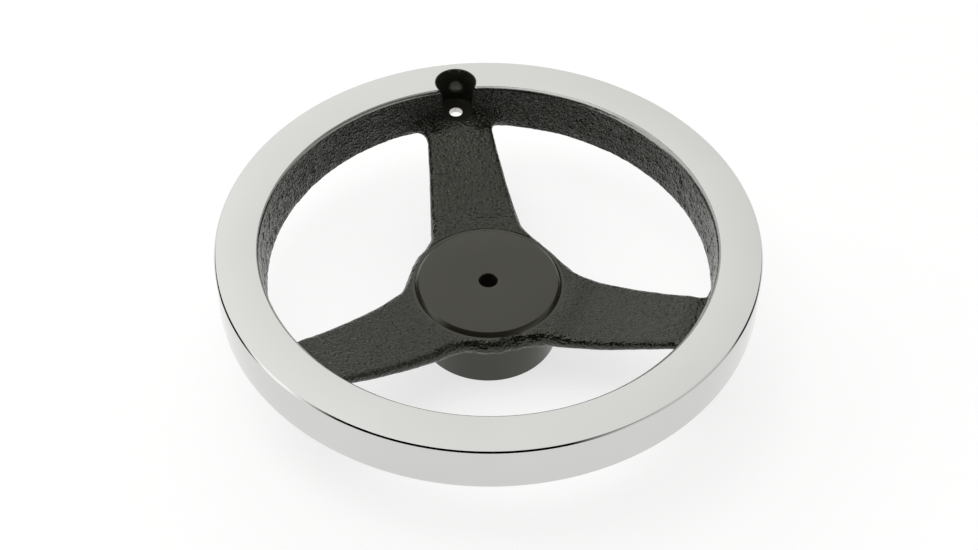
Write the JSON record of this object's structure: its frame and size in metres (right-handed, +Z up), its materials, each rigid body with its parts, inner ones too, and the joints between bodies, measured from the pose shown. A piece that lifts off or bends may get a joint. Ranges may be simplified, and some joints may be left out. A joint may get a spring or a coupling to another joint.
{
  "type": "handwheel",
  "caption": "Dished handwheel with curved flat spokes, chromed rim, turned hub with a pilot bore, and a milled seat for a screwed-on crank handle.",
  "frame": {"origin": "centre of the hub's underside, on the wheel's axis", "axes": "+Z up the wheel's axis, from the hub's underside to the rim's top face; +Y along the spoke that carries the handle seat; +X completes the right-handed frame"},
  "size_m": [0.2506, 0.2506, 0.0631],
  "materials": {
    "chromed_rim": "polished chrome plate",
    "enamelled_casting": "rough sand casting under semi-gloss black enamel",
    "turned_hub": "smooth turned face, blackened, satin",
    "gloss_seat": "milled pocket under gloss black enamel"
  },
  "bodies": {
    "root": {"rim": "chromed_rim", "inner_rim": "enamelled_casting", "spoke_1": "enamelled_casting", "spoke_2": "enamelled_casting", "spoke_3": "enamelled_casting", "hub_eye": "enamelled_casting", "hub_core": "turned_hub", "handle_seat": "gloss_seat"}
  },
  "joints": []
}
